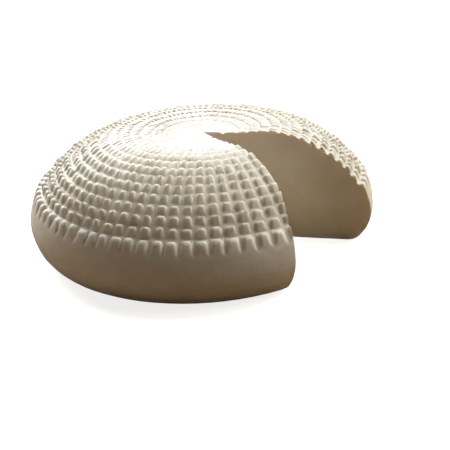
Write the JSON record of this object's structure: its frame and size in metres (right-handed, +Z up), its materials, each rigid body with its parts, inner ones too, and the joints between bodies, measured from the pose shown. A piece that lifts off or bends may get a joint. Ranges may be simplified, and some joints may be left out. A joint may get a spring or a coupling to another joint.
{
  "type": "quesillo cheese wheel",
  "caption": "Flattened dome of fresh white cheese with a knobbly basket-mould print, a smooth lower wall and one wedge cut out.",
  "frame": {"origin": "on the flat base, at the middle of the wheel's outline seen from above", "axes": "+Z up out of the crown, -Y towards the side that the picture was taken from, +X to that view's right"},
  "size_m": [0.219, 0.219, 0.0726],
  "materials": {
    "paste": "moist fresh cheese paste, faintly glossy, rind and cut alike"
  },
  "bodies": {
    "root": {"quesillo": "paste"}
  },
  "joints": []
}
